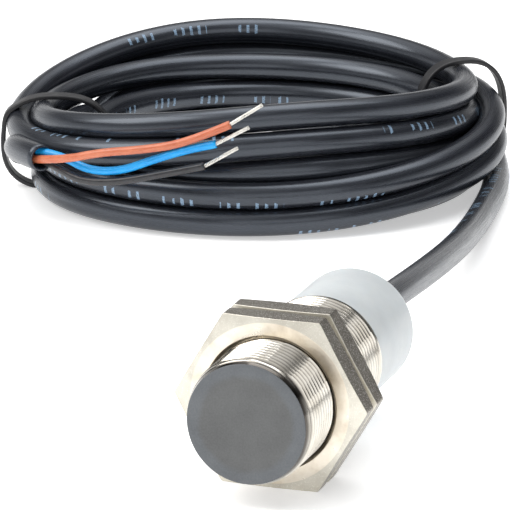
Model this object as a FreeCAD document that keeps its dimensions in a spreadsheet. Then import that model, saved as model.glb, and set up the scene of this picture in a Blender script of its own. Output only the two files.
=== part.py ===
import FreeCAD, Part
import Sketcher
import math
import os

# Inductive proximity sensor with an M18 x 1 threaded barrel, two hexagon nuts and a coiled cable.
#
# Row frame: +Z up, the barrel's axis along Y, the sensing face towards -Y, and z = 0 at the
# surface that the nuts and the cable lie on. Pieces of the sensor itself are drawn in a local
# frame whose origin is the centre of the sensing face and whose +Y is the depth behind it.
# All lengths are in millimetres.

DIMENSIONS = {
    # threaded barrel
    "axis_height": 12.0, "face_place": -24.5,
    "thread_radius": 9.0, "thread_root": 8.46, "thread_half": 0.42, "thread_pitch": 1.0,
    "thread_start": 1.8, "thread_turns": 29, "rim_chamfer": 0.35, "rim_edge": 8.46, "rim_taper": 1.35,
    "barrel_length": 32.2, "barrel_bore": 7.75, "rim_bore": 8.4, "rim_depth": 0.8,
    # hexagon nuts
    "nut_flats": 24.0, "nut_thick": 4.0, "nut_bore": 9.04, "nut_sink": 0.5,
    "nut_crown": 11.35, "crown_run": 3.0, "crown_drop": 0.53, "nut_front_at": 9.8, "nut_rear_at": 14.15,
    # sensing face cap
    "cap_radius": 8.36, "cap_skirt": 7.7, "cap_skirt_bore": 7.1, "cap_wall": 1.2, "cap_depth": 6.6,
    # pot core, bobbin and winding
    "core_radius": 7.0, "core_front": 1.3, "core_back": 6.3, "core_floor": 4.9,
    "core_wall": 5.8, "core_post": 2.9, "core_hole": 0.9,
    "bobbin_post": 3.0, "bobbin_tube": 3.4, "bobbin_flange": 5.7, "bobbin_web": 0.3,
    "bobbin_front": 1.4, "bobbin_back": 4.8, "winding_gap": 0.02, "winding_radius": 5.4,
    "pin_radius": 0.3, "pin_hole": 0.5, "pin_side": 4.2, "pin_height": 0.75, "pin_end": 10.2,
    # carrier and circuit board
    "carrier_front": 6.35, "carrier_back": 8.4, "carrier_radius": 7.0,
    "slot_half": 6.3, "slot_height": 1.0,
    "board_front": 6.8, "board_back": 31.0, "board_half": 6.2, "board_thick": 0.8,
    "shoulder_at": 27.0, "tail_half": 4.6,
    # end cap and the cable's way through it
    "end_front": 32.3, "end_back": 49.0, "end_radius": 8.7, "end_round": 2.3,
    "spigot_front": 28.2, "spigot_radius": 7.7, "end_bore": 6.9, "end_wall_at": 43.6,
    "seal_radius": 3.4, "seal_flange": 4.6, "seal_flange_at": 42.4,
    "clamp_front": 36.5, "clamp_back": 40.0, "clamp_radius": 3.3,
    "jacket_front": 34.5, "cable_radius": 2.1, "wire_radius": 0.65, "strand_radius": 0.36,
    "wire_lay": 0.9, "wire_spread": 2.8, "wire_lift": 0.03, "wire_leaves_at": 33.8, "wire_lands_at": 31.9,
    "wire_stops_at": 28.8, "solder_at": 28.3, "solder_height": 0.9, "pin_solder_at": 10.8,
    "resin_front": 8.45, "resin_back": 42.0, "resin_gap": 0.05,
    "chamber_half": 3.2, "chamber_over": 0.75, "wire_room": 3.6,
    # coil of spare cable
    "coil_long": 38.3, "coil_short": 31.0, "coil_x": -50.5, "coil_y": 127.5, "coil_turn": 29.7,
    "coil_band": 12.6, "coil_height": 20.0, "coil_tie_height": 16.0,
    # cable ties
    "tie_width": 2.5, "tie_thick": 0.8, "tie_right_inner": 10.9, "tie_left_inner": 11.6,
    "tie_right_outer": 3.4, "tie_left_outer": 2.7, "tie_right_top": 17.6, "tie_left_top": 16.3,
    "tie_right_at": 6.0, "tie_left_at": 170.0,
    "head_long": 4.4, "head_high": 4.0, "head_deep": 3.0, "head_low": 1.5,
}

# Route of the cable from the end cap's rear face to the coil, and of its last stretch, from the
# coil to the cut end of the jacket. Both are lists of (x, y, z) in the row frame.
LEAD_ROUTE = [
    (0.0, 24.5, 12.0), (0.0, 36.0, 12.0), (-0.9, 56.0, 9.9), (-3.4, 80.0, 6.7), (-6.6, 101.0, 3.9),
    (-9.4, 118.0, 2.5), (-11.6, 131.0, 2.1), (-14.2, 141.0, 2.1), (-17.8, 149.6, 2.1),
]
TAIL_ROUTE = [
    (-87.2, 120.6, 6.8), (-86.0, 113.3, 7.6), (-83.4, 105.2, 9.2), (-79.6, 97.9, 10.6), (-74.0, 93.4, 11.0),
]

# The three wires that come out of the cut jacket: each has its insulated route and the end of
# its bare strands.
WIRE_ROUTES = {
    "brown": [
        (-75.9, 94.0, 10.5), (-69.6, 91.2, 11.7), (-63.4, 90.5, 13.7), (-56.2, 90.7, 14.8),
        (-49.4, 91.8, 16.3), (-43.2, 93.8, 19.3),
    ],
    "blue": [
        (-75.55, 94.65, 11.8), (-70.6, 93.5, 11.7), (-66.0, 92.3, 10.1), (-60.4, 91.4, 10.7),
        (-54.8, 91.3, 13.2), (-49.8, 91.9, 15.1), (-45.2, 93.0, 16.2),
    ],
    "black": [
        (-75.1, 95.2, 10.4), (-71.0, 93.4, 9.5), (-67.0, 91.9, 8.4), (-61.0, 91.1, 9.0),
        (-54.2, 91.3, 10.8), (-46.9, 92.6, 12.6),
    ],
}
STRAND_ENDS = {
    "brown": (-38.6, 95.6, 22.4), "blue": (-40.4, 94.6, 18.9), "black": (-42.0, 94.1, 15.6),
}
ARC_SHARE = 0.45          # part of the shorter run that the arc at a route's point takes up
LEG_SHARE, LEG_HEIGHT = 0.35, 0.25      # a chip's legs: width as a part of their spacing, and height

doc = FreeCAD.newDocument("proximity_sensor")
sheet = doc.addObject("Spreadsheet::Sheet", "dims")
for row, (alias, value) in enumerate(DIMENSIONS.items(), start=1):
    sheet.set(f"A{row}", alias)
    sheet.set(f"B{row}", str(value))
    sheet.setAlias(f"B{row}", alias)
doc.recompute()
subparts = []


def amount(words):
    """Value and spreadsheet expression of a sum of cells, such as "end_back - end_round"."""
    value, expression, sign = 0.0, "", 1
    for word in words.split():
        if word in "+-":
            sign = -1 if word == "-" else 1
            expression += f" {word} "
        elif word[0].isdigit():
            value += sign * float(word)
            expression += word
        else:
            value += sign * DIMENSIONS[word]
            expression += f"dims.{word}"
    return value, expression


def number(words):
    return amount(words)[0]


def bind(item, prop, words):
    item.setExpression(prop, amount(words)[1])


def place_on_axis(item):
    """Give a piece the sensor's own frame: origin at the sensing face, +Y the depth behind it."""
    item.Placement = FreeCAD.Placement(FreeCAD.Vector(0, 0, 0), FreeCAD.Rotation())
    bind(item, "Placement.Base.y", "face_place")
    bind(item, "Placement.Base.z", "axis_height")


def new_body(label):
    body = doc.addObject("PartDesign::Body", label)
    body.Label = label
    return body


def origin_plane(body, role):
    return next(item for item in body.Origin.OriginFeatures if item.Role == role)


def outline(body, role, loops, name):
    """A sketch on one of the body's planes, with closed outlines whose corners follow the sheet."""
    sketch = body.newObject("Sketcher::SketchObject", name)
    sketch.AttachmentSupport = (origin_plane(body, role), "")
    sketch.MapMode = "FlatFace"
    for corners in loops:
        points = [FreeCAD.Vector(number(across), number(along), 0) for across, along in corners]
        first = sketch.GeometryCount
        for here, there in zip(points, points[1:] + points[:1]):
            sketch.addGeometry(Part.LineSegment(here, there), False)
        count = len(points)
        for index, (across, along) in enumerate(corners):
            edge = first + index
            previous = first + (index - 1) % count
            sketch.addConstraint(Sketcher.Constraint("Coincident", previous, 2, edge, 1))
            fix_corner(sketch, edge, "DistanceX", across, -2)
            fix_corner(sketch, edge, "DistanceY", along, -1)
    return sketch


def fix_corner(sketch, edge, kind, words, axis):
    value, expression = amount(words)
    if words == "0":
        sketch.addConstraint(Sketcher.Constraint("PointOnObject", edge, 1, axis))
        return
    index = sketch.addConstraint(Sketcher.Constraint(kind, -1, 1, edge, 1, value))
    sketch.setExpression(f"Constraints[{index}]", expression)


def turned(label, corners):
    """A piece of revolution about the barrel's axis, from (radius, depth) corners."""
    body = new_body(label)
    sketch = outline(body, "XY_Plane", [corners], label + "_profile")
    turn = body.newObject("PartDesign::Revolution", label + "_turn")
    turn.Profile = sketch
    turn.ReferenceAxis = (sketch, ["V_Axis"])
    turn.Angle = 360.0
    sketch.Visibility = False
    place_on_axis(body)
    doc.recompute()
    return body


def cut_check(body, feature, before):
    """Stop if a cutting feature took nothing away."""
    body.Tip = feature
    doc.recompute()
    if not body.Shape.Volume < before - 1e-6:
        raise RuntimeError(f"{feature.Name} cuts nothing")


def groove(body, name, loops):
    before = body.Shape.Volume
    sketch = outline(body, "XY_Plane", loops, name + "_profile")
    cut = body.newObject("PartDesign::Groove", name)
    cut.Profile = sketch
    cut.ReferenceAxis = (sketch, ["V_Axis"])
    cut.Angle = 360.0
    cut_check(body, cut, before)
    return cut, sketch


def keep(item, label=None):
    """List an object as a sub-part that gets its own STEP file."""
    if label:
        item.Label = label
    subparts.append(item)
    return item


def make_barrel():
    body = turned("threaded_barrel", [
        ("rim_bore", "0"), ("rim_edge", "0"), ("thread_radius", "rim_taper"),
        ("thread_radius", "barrel_length - rim_chamfer"), ("thread_radius - rim_chamfer", "barrel_length"),
        ("barrel_bore", "barrel_length"), ("barrel_bore", "rim_depth"), ("rim_bore", "rim_depth"),
    ])
    cut, sketch = groove(body, "thread_groove", [[
        ("thread_root", "thread_start"), ("thread_radius + thread_half", "thread_start - thread_half"),
        ("thread_radius + thread_half", "thread_start + thread_half"),
    ]])
    pattern = body.newObject("PartDesign::LinearPattern", "thread_pattern")
    pattern.Originals = [cut]
    pattern.Direction = (sketch, ["V_Axis"])
    pattern.setExpression("Length", "dims.thread_pitch * (dims.thread_turns - 1)")
    pattern.setExpression("Occurrences", "dims.thread_turns")
    one_groove = body.Shape.Volume
    cut_check(body, pattern, one_groove - 10.0)
    keep(body)


def make_nut(label, front):
    """A thin hexagon nut with chamfered corners and countersunk bore, its front face at a depth."""
    body = new_body(label)
    place_on_axis(body)
    sketch = body.newObject("Sketcher::SketchObject", label + "_outline")
    sketch.AttachmentSupport = (origin_plane(body, "XZ_Plane"), "")
    sketch.MapMode = "FlatFace"
    sketch.setExpression("AttachmentOffset.Base.z", f"-dims.{front}")
    reach = number("nut_flats") / math.sqrt(3)
    corners = [FreeCAD.Vector(reach * math.cos(math.radians(60 * k)),
                              reach * math.sin(math.radians(60 * k)), 0) for k in range(6)]
    for here, there in zip(corners, corners[1:] + corners[:1]):
        sketch.addGeometry(Part.LineSegment(here, there), False)
    for k in range(6):
        sketch.addConstraint(Sketcher.Constraint("Coincident", k, 2, (k + 1) % 6, 1))
    around = sketch.addGeometry(Part.Circle(FreeCAD.Vector(0, 0, 0), FreeCAD.Vector(0, 0, 1), reach), True)
    bore = sketch.addGeometry(
        Part.Circle(FreeCAD.Vector(0, 0, 0), FreeCAD.Vector(0, 0, 1), number("nut_bore")), False)
    for ring in (around, bore):
        sketch.addConstraint(Sketcher.Constraint("Coincident", ring, 3, -1, 1))
    for k in range(6):
        sketch.addConstraint(Sketcher.Constraint("PointOnObject", k, 1, around))
    for k in range(1, 6):
        sketch.addConstraint(Sketcher.Constraint("Equal", 0, k))
    sketch.addConstraint(Sketcher.Constraint("PointOnObject", 0, 1, -1))
    index = sketch.addConstraint(Sketcher.Constraint("Radius", around, reach))
    sketch.setExpression(f"Constraints[{index}]", "dims.nut_flats / sqrt(3)")
    index = sketch.addConstraint(Sketcher.Constraint("Radius", bore, number("nut_bore")))
    sketch.setExpression(f"Constraints[{index}]", "dims.nut_bore")
    pad = body.newObject("PartDesign::Pad", label + "_plate")
    pad.Profile = sketch
    pad.Reversed = True
    bind(pad, "Length", "nut_thick")
    doc.recompute()
    rear = f"{front} + nut_thick"
    groove(body, label + "_chamfers", [
        [("nut_crown", front), ("nut_crown + crown_run", front),
         ("nut_crown + crown_run", f"{front} + crown_drop")],
        [("nut_crown", rear), ("nut_crown + crown_run", rear),
         ("nut_crown + crown_run", f"{rear} - crown_drop")],
        [("nut_bore - nut_sink", front), ("nut_bore + nut_sink", front),
         ("nut_bore - nut_sink", f"{front} + nut_sink + nut_sink")],
        [("nut_bore - nut_sink", rear), ("nut_bore + nut_sink", rear),
         ("nut_bore - nut_sink", f"{rear} - nut_sink - nut_sink")],
    ])
    keep(body)


def make_face_and_core():
    keep(turned("sensing_face", [
        ("0", "0"), ("cap_radius", "0"), ("cap_radius", "rim_depth"), ("cap_skirt", "rim_depth"),
        ("cap_skirt", "cap_depth"), ("cap_skirt_bore", "cap_depth"), ("cap_skirt_bore", "cap_wall"),
        ("0", "cap_wall"),
    ]))
    core = turned("ferrite_core", [
        ("core_hole", "core_front"), ("core_post", "core_front"), ("core_post", "core_floor"),
        ("core_wall", "core_floor"), ("core_wall", "core_front"), ("core_radius", "core_front"),
        ("core_radius", "core_back"), ("core_hole", "core_back"),
    ])
    pin_holes(core, "core_pin_holes", "core_back + 1", "core_back")
    keep(core)
    keep(turned("coil_bobbin", [
        ("bobbin_post", "bobbin_front"), ("bobbin_flange", "bobbin_front"),
        ("bobbin_flange", "bobbin_front + bobbin_web"), ("bobbin_tube", "bobbin_front + bobbin_web"),
        ("bobbin_tube", "bobbin_back - bobbin_web"), ("bobbin_flange", "bobbin_back - bobbin_web"),
        ("bobbin_flange", "bobbin_back"), ("bobbin_post", "bobbin_back"),
    ]))
    keep(turned("copper_winding", [
        ("bobbin_tube + winding_gap", "bobbin_front + bobbin_web + winding_gap"),
        ("winding_radius", "bobbin_front + bobbin_web + winding_gap"),
        ("winding_radius", "bobbin_back - bobbin_web - winding_gap"),
        ("bobbin_tube + winding_gap", "bobbin_back - bobbin_web - winding_gap"),
    ]))


def pin_holes(body, name, length, start):
    """Two holes along the barrel's axis for the coil's pins, cut forward from a given depth."""
    before = body.Shape.Volume
    sketch = body.newObject("Sketcher::SketchObject", name + "_outline")
    sketch.AttachmentSupport = (origin_plane(body, "XZ_Plane"), "")
    sketch.MapMode = "FlatFace"
    sketch.setExpression("AttachmentOffset.Base.z", f"-({amount(start)[1]})")
    for side in (-1, 1):
        centre = FreeCAD.Vector(side * number("pin_side"), number("pin_height"), 0)
        ring = sketch.addGeometry(Part.Circle(centre, FreeCAD.Vector(0, 0, 1), number("pin_hole")), False)
        for kind, value, words in (
            ("DistanceX", centre.x, ("" if side > 0 else "-") + "dims.pin_side"),
            ("DistanceY", centre.y, "dims.pin_height"),
        ):
            index = sketch.addConstraint(Sketcher.Constraint(kind, -1, 1, ring, 3, value))
            sketch.setExpression(f"Constraints[{index}]", words)
        index = sketch.addConstraint(Sketcher.Constraint("Radius", ring, number("pin_hole")))
        sketch.setExpression(f"Constraints[{index}]", "dims.pin_hole")
    pocket = body.newObject("PartDesign::Pocket", name)
    pocket.Profile = sketch
    pocket.Reversed = True
    bind(pocket, "Length", length)
    doc.recompute()
    if not body.Shape.Volume < before - 1e-6:
        pocket.Reversed = False
    cut_check(body, pocket, before)


def cylinder(name, radius, length, across, depth, height):
    """A round bar along the barrel's axis, from the given depth backwards."""
    bar = doc.addObject("Part::Cylinder", name)
    bind(bar, "Radius", radius)
    bind(bar, "Height", length)
    bar.Placement.Rotation = FreeCAD.Rotation(FreeCAD.Vector(1, 0, 0), -90)
    bar.setExpression("Placement.Base.x", amount(across)[1])
    bar.setExpression("Placement.Base.y", amount("face_place + " + depth)[1])
    bar.setExpression("Placement.Base.z", amount("axis_height + " + height)[1])
    return bar


def box(name, size, centre, side=1):
    """A box on the board: size and centre in mm, seated on the board's upper or lower side."""
    block = doc.addObject("Part::Box", name)
    block.Length, block.Width, block.Height = size
    across, depth = centre
    block.Placement.Base = FreeCAD.Vector(across - size[0] / 2, 0, 0)
    block.setExpression("Placement.Base.y", f"dims.face_place + {depth - size[1] / 2}")
    seat = "dims.axis_height + dims.board_thick / 2"
    if side < 0:
        seat = f"dims.axis_height - dims.board_thick / 2 - {size[2]}"
    block.setExpression("Placement.Base.z", seat)
    return block


def group(label, items):
    """Several separate solids of one kind, as one node."""
    together = doc.addObject("Part::Compound", label)
    together.Links = items
    return keep(together, label)


def fused(label, items):
    whole = doc.addObject("Part::MultiFuse", label)
    whole.Shapes = items
    return keep(whole, label)


def chip(label, size, centre, legs, lead_span, side=1):
    """A moulded package with its gull-wing legs down both sides."""
    items = [box(label + "_case", size, centre, side)]
    pitch = size[1] / legs
    for index in range(legs):
        depth = centre[1] - size[1] / 2 + pitch * (index + 0.5)
        leg = (lead_span, pitch * LEG_SHARE, LEG_HEIGHT)
        items.append(box(f"{label}_leg{index}", leg, (centre[0], depth), side))
    return fused(label, items)


def make_carrier_and_board():
    carrier = turned("core_carrier", [
        ("0", "carrier_front"), ("carrier_radius", "carrier_front"),
        ("carrier_radius", "carrier_back"), ("0", "carrier_back"),
    ])
    pin_holes(carrier, "carrier_pin_holes", "carrier_back + 1", "carrier_back")
    before = carrier.Shape.Volume
    slot = outline(carrier, "XY_Plane", [[
        ("0 - slot_half", "board_front"), ("slot_half", "board_front"),
        ("slot_half", "carrier_back + 1"), ("0 - slot_half", "carrier_back + 1"),
    ]], "board_slot_outline")
    pocket = carrier.newObject("PartDesign::Pocket", "board_slot")
    pocket.Profile = slot
    pocket.Midplane = True
    bind(pocket, "Length", "slot_height")
    cut_check(carrier, pocket, before)
    keep(carrier)

    board = new_body("circuit_board")
    place_on_axis(board)
    sketch = outline(board, "XY_Plane", [[
        ("0 - board_half", "board_front"), ("board_half", "board_front"), ("board_half", "shoulder_at"),
        ("tail_half", "shoulder_at + 1"), ("tail_half", "board_back"), ("0 - tail_half", "board_back"),
        ("0 - tail_half", "shoulder_at + 1"), ("0 - board_half", "shoulder_at"),
    ]], "board_outline")
    pad = board.newObject("PartDesign::Pad", "board_plate")
    pad.Profile = sketch
    pad.Midplane = True
    bind(pad, "Length", "board_thick")
    doc.recompute()
    keep(board)


def make_board_parts():
    """Electronic parts: (width, length, height) and (across, depth), in the sensor's own frame."""
    chip("oscillator_chip", (3.9, 4.9, 1.4), (-1.6, 13.6), 4, 6.0)
    chip("output_transistor", (1.6, 2.9, 1.1), (3.6, 18.6), 2, 2.8)
    chip("voltage_regulator", (3.5, 3.6, 1.5), (-2.2, 20.6), 3, 5.6)
    keep(box("protection_diode", (2.6, 4.2, 2.0), (0.0, 14.0), -1))
    group("capacitors", [
        box(f"capacitor{index}", (1.2, 2.0, 1.1), centre, side)
        for index, (centre, side) in enumerate([
            ((3.8, 12.5), 1), ((3.8, 14.9), 1), ((-4.2, 12.0), -1), ((4.2, 12.0), -1), ((0.0, 19.0), -1)])
    ])
    group("resistors", [
        box(f"resistor{index}", (0.8, 1.6, 0.45), centre, side)
        for index, (centre, side) in enumerate([
            ((-4.8, 17.0), 1), ((0.6, 17.6), 1), ((1.4, 22.4), 1), ((3.0, 22.4), 1), ((-4.2, 16.0), -1),
            ((4.2, 16.0), -1), ((-2.4, 22.0), -1), ((2.4, 22.0), -1)])
    ])
    group("indicator_leds", [
        box(f"led{index}", (1.6, 0.8, 0.8), (side * 3.6, 25.6), face)
        for index, (side, face) in enumerate([(1, 1), (-1, 1), (1, -1), (-1, -1)])
    ])
    group("coil_pins", [
        cylinder(f"coil_pin{side + 1}", "pin_radius", "pin_end - bobbin_back",
                 f"{sign}pin_side", "bobbin_back", "pin_height")
        for side, sign in ((-1, "0 - "), (1, ""))
    ])


def make_end():
    cap = turned("end_cap", [
        ("end_bore", "spigot_front"), ("spigot_radius", "spigot_front"), ("spigot_radius", "end_front"),
        ("end_radius", "end_front"), ("end_radius", "end_back"), ("seal_radius", "end_back"),
        ("seal_radius", "end_wall_at"), ("end_bore", "end_wall_at"),
    ])
    rim = [
        f"Edge{index}" for index, edge in enumerate(cap.Shape.Edges, start=1)
        if isinstance(edge.Curve, Part.Circle) and abs(edge.Curve.Radius - number("end_radius")) < 1e-6
        and edge.Curve.Center.y > number("face_place + end_back") - 1e-6
    ]
    before = cap.Shape.Volume
    turn = cap.Tip
    shoulder = cap.newObject("PartDesign::Fillet", "end_shoulder")
    shoulder.Base = (turn, rim)
    bind(shoulder, "Radius", "end_round")
    cut_check(cap, shoulder, before)
    keep(cap)
    keep(turned("cable_seal", [
        ("cable_radius", "seal_flange_at"), ("seal_flange", "seal_flange_at"),
        ("seal_flange", "end_wall_at"), ("seal_radius", "end_wall_at"), ("seal_radius", "end_back"),
        ("cable_radius", "end_back"),
    ]))
    keep(turned("cable_clamp", [
        ("cable_radius", "clamp_front"), ("clamp_radius", "clamp_front"),
        ("clamp_radius", "clamp_back"), ("cable_radius", "clamp_back"),
    ]))
    keep(turned("cable_inner_end", [
        ("0", "jacket_front"), ("cable_radius", "jacket_front"),
        ("cable_radius", "end_back"), ("0", "end_back"),
    ]))


def route_wire(route):
    """Straight runs joined by tangent arcs, and the radius of each arc."""
    points = [FreeCAD.Vector(*point) for point in route]
    edges, radii, start = [], [], points[0]
    for before, corner, after in zip(points, points[1:], points[2:]):
        run_in, run_out = corner - before, after - corner
        half_turn = run_in.getAngle(run_out) / 2
        reach = ARC_SHARE * min(run_in.Length, run_out.Length)
        arc_start = corner - run_in.normalize() * reach
        arc_end = corner + run_out.normalize() * reach
        radius = reach / math.tan(half_turn)
        inward = (arc_start + arc_end) * 0.5 - corner
        centre = corner + inward.normalize() * (radius / math.cos(half_turn))
        middle = centre + (corner - centre).normalize() * radius
        edges.append(Part.LineSegment(start, arc_start).toShape())
        edges.append(Part.Arc(arc_start, middle, arc_end).toShape())
        radii.append(radius)
        start = arc_end
    edges.append(Part.LineSegment(start, points[-1]).toShape())
    return Part.Wire(edges), radii


def tube(label, route, radius):
    """A round cord along a route, checked against its section times its length."""
    path, radii = route_wire(route)
    heading = FreeCAD.Vector(*route[1]) - FreeCAD.Vector(*route[0])
    section = Part.Wire(Part.Circle(FreeCAD.Vector(*route[0]), heading, radius).toShape())
    shape = path.makePipeShell([section], True, True)
    expected = math.pi * radius ** 2 * path.Length
    if abs(shape.Volume - expected) > 0.01 * expected:
        raise RuntimeError(f"{label}: volume {shape.Volume:.2f}, expected {expected:.2f}")
    diameters = ", ".join(f"{value / (2 * radius):.1f}" for value in radii)
    print(f"{label}: length {path.Length:.1f} mm, bend radii in diameters {diameters}")
    item = doc.addObject("Part::Feature", label)
    item.Shape = shape
    return keep(item, label)


def make_inner_wires():
    """The three insulated wires inside the end cap, from the cable's inner end to the board."""
    top, face = DIMENSIONS["axis_height"], DIMENSIONS["face_place"]
    radius, lay, spread = DIMENSIONS["wire_radius"], DIMENSIONS["wire_lay"], DIMENSIONS["wire_spread"]
    board_top = top + DIMENSIONS["board_thick"] / 2
    seat = board_top + radius + DIMENSIONS["wire_lift"]
    for name, side, angle in (("brown", -1, 150.0), ("black", 0, 270.0), ("blue", 1, 30.0)):
        at_x = lay * math.cos(math.radians(angle))
        at_z = top + lay * math.sin(math.radians(angle))
        tube(f"inner_wire_{name}", [
            (at_x, face + DIMENSIONS["jacket_front"], at_z),
            (at_x, face + DIMENSIONS["wire_leaves_at"], at_z),
            (side * spread, face + DIMENSIONS["wire_lands_at"], seat),
            (side * spread, face + DIMENSIONS["wire_stops_at"], seat),
        ], radius)
    height = DIMENSIONS["solder_height"]
    joints = [
        solder_drop(f"solder{side + 1}", side * spread, face + DIMENSIONS["solder_at"], board_top, height)
        for side in (-1, 0, 1)
    ] + [
        solder_drop(f"pin_solder{side + 1}", side * DIMENSIONS["pin_side"],
                    face + DIMENSIONS["pin_solder_at"], board_top, height * 0.6)
        for side in (-1, 1)
    ]
    group("solder_joints", joints)


def solder_drop(name, across, depth, base, height):
    """A solder joint as a cone as wide at its foot as twice its height."""
    drop = doc.addObject("Part::Cone", name)
    drop.Radius1, drop.Radius2, drop.Height = height, height / 2, height
    drop.Placement.Base = FreeCAD.Vector(across, depth, base)
    return drop


def make_resin():
    """Potting resin between the electronics and the walls, and round the cable's inner end."""
    blank = turned("resin_blank", [
        ("0", "resin_front"), ("barrel_bore - resin_gap", "resin_front"),
        ("barrel_bore - resin_gap", "spigot_front - resin_gap"),
        ("end_bore - resin_gap", "spigot_front - resin_gap"),
        ("end_bore - resin_gap", "resin_back"), ("0", "resin_back"),
    ])
    chamber = doc.addObject("Part::Box", "board_chamber")
    bind(chamber, "Length", "board_half + board_half + resin_gap + resin_gap")
    bind(chamber, "Width", "board_back - resin_front + chamber_over + chamber_over")
    chamber.setExpression("Height", "2 * dims.chamber_half")
    chamber.setExpression("Placement.Base.x", "-dims.board_half - dims.resin_gap")
    bind(chamber, "Placement.Base.y", "face_place + resin_front - chamber_over")
    bind(chamber, "Placement.Base.z", "axis_height - chamber_half")
    wires = cylinder("wire_chamber", "wire_room", "jacket_front - board_back", "0", "board_back", "0")
    jacket = cylinder("jacket_room", "cable_radius", "end_back - jacket_front", "0",
                      "jacket_front - chamber_over", "0")
    clamp = cylinder("clamp_room", "clamp_radius + resin_gap",
                     "clamp_back - clamp_front + resin_gap + resin_gap", "0", "clamp_front - resin_gap", "0")
    rooms = doc.addObject("Part::MultiFuse", "resin_rooms")
    rooms.Shapes = [chamber, wires, jacket, clamp]
    resin = doc.addObject("Part::Cut", "potting_resin")
    resin.Base = blank
    resin.Tool = rooms
    keep(resin, "potting_resin")


def coil_place(angle, outward):
    """Point on the coil's outer oval at an angle from its long axis, and the outward direction."""
    turn = FreeCAD.Rotation(FreeCAD.Vector(0, 0, 1), DIMENSIONS["coil_turn"])
    along, across = math.cos(math.radians(angle)), math.sin(math.radians(angle))
    long_half, short_half = DIMENSIONS["coil_long"], DIMENSIONS["coil_short"]
    normal = FreeCAD.Vector(along * short_half, across * long_half, 0).normalize()
    point = FreeCAD.Vector(along * long_half, across * short_half, 0) + normal * outward
    centre = FreeCAD.Vector(DIMENSIONS["coil_x"], DIMENSIONS["coil_y"], 0)
    return centre + turn.multVec(point), turn.multVec(normal)


def oval_block(name, grow):
    """An upright oval block as high as the coil; grow is added to both of its half widths."""
    ring = doc.addObject("Part::Ellipse", name + "_ring")
    ring.setExpression("MajorRadius", f"dims.coil_long + {grow}")
    ring.setExpression("MinorRadius", f"dims.coil_short + {grow}")
    block = doc.addObject("Part::Extrusion", name)
    block.Base = ring
    block.DirMode = "Custom"
    block.Dir = FreeCAD.Vector(0, 0, 1)
    block.Solid = True
    block.setExpression("LengthFwd", "dims.coil_height")
    return block


def make_coil():
    """The coil's outer shape: an oval ring, highest at its front and back, lower at the ties."""
    ring = doc.addObject("Part::Cut", "coil_ring")
    ring.Base = oval_block("coil_outside", "dims.cable_radius")
    ring.Tool = oval_block("coil_inside", "dims.cable_radius - dims.coil_band")
    rise = DIMENSIONS["coil_height"] - DIMENSIONS["coil_tie_height"]
    crown_radius = (DIMENSIONS["coil_long"] ** 2 + rise ** 2) / (2 * rise)
    crown = doc.addObject("Part::Cylinder", "coil_crown")
    crown.Radius = crown_radius
    crown.setExpression("Height", "4 * dims.coil_short")
    crown.Placement.Rotation = FreeCAD.Rotation(FreeCAD.Vector(1, 0, 0), -90)
    crown.setExpression("Placement.Base.y", "-2 * dims.coil_short")
    crown.setExpression("Placement.Base.z", f"dims.coil_height - {crown_radius}")
    coil = doc.addObject("Part::Common", "cable_coil")
    coil.Base = ring
    coil.Tool = crown
    coil.Placement.Rotation = FreeCAD.Rotation(FreeCAD.Vector(0, 0, 1), DIMENSIONS["coil_turn"])
    bind(coil, "Placement.Base.x", "coil_x")
    bind(coil, "Placement.Base.y", "coil_y")
    keep(coil, "cable_coil")


def make_tie(label, angle):
    """A cable tie round the coil's bundle: a flat strap in a closed loop, and its locking head."""
    body = new_body(label)
    outer, inner, inside_top = label + "_outer", f"0 - {label}_inner", label + "_top"
    side, top = f"{inner} - tie_thick", f"{inside_top} + tie_thick"
    strap = outline(body, "XZ_Plane", [
        [(side, "0"), (f"{outer} + tie_thick", "0"), (f"{outer} + tie_thick", top), (side, top)],
        [(inner, "tie_thick"), (outer, "tie_thick"), (outer, inside_top), (inner, inside_top)],
    ], label + "_strap_outline")
    pad = body.newObject("PartDesign::Pad", label + "_strap")
    pad.Profile = strap
    pad.Midplane = True
    bind(pad, "Length", "tie_width")
    doc.recompute()
    head = outline(body, "XZ_Plane", [[
        (f"{side} - head_deep", "head_low"), (side, "head_low"),
        (side, "head_low + head_high"), (f"{side} - head_deep", "head_low + head_high"),
    ]], label + "_head_outline")
    block = body.newObject("PartDesign::Pad", label + "_head")
    block.Profile = head
    block.Midplane = True
    bind(block, "Length", "head_long")
    body.Tip = block
    place, outward = coil_place(angle, 0.0)
    heading = math.degrees(math.atan2(outward.y, outward.x))
    body.Placement = FreeCAD.Placement(place, FreeCAD.Rotation(FreeCAD.Vector(0, 0, 1), heading))
    doc.recompute()
    keep(body)


def make_cable():
    radius = DIMENSIONS["cable_radius"]
    tube("cable_lead", LEAD_ROUTE, radius)
    make_coil()
    tube("cable_tail", TAIL_ROUTE, radius)
    for colour, route in WIRE_ROUTES.items():
        tube(f"wire_{colour}", route, DIMENSIONS["wire_radius"])
        start, end = FreeCAD.Vector(*route[-1]), FreeCAD.Vector(*STRAND_ENDS[colour])
        strands = doc.addObject("Part::Cylinder", f"strands_{colour}")
        bind(strands, "Radius", "strand_radius")
        strands.Height = (end - start).Length
        strands.Placement = FreeCAD.Placement(start, FreeCAD.Rotation(FreeCAD.Vector(0, 0, 1), end - start))
        keep(strands)
    make_tie("tie_right", DIMENSIONS["tie_right_at"])
    make_tie("tie_left", DIMENSIONS["tie_left_at"])


def export_all():
    doc.recompute()
    for item in doc.Objects:
        if "Invalid" in item.State or "Error" in item.State:
            raise RuntimeError(f"{item.Name} failed: {item.State}")
    os.makedirs("parts", exist_ok=True)
    for item in subparts:
        shape = item.Shape
        if shape.isNull() or not shape.isValid():
            raise RuntimeError(f"{item.Label} has no valid shape")
        shape.exportStep(f"parts/{item.Label}.step")
    print(f"{len(subparts)} sub-parts written")


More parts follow.
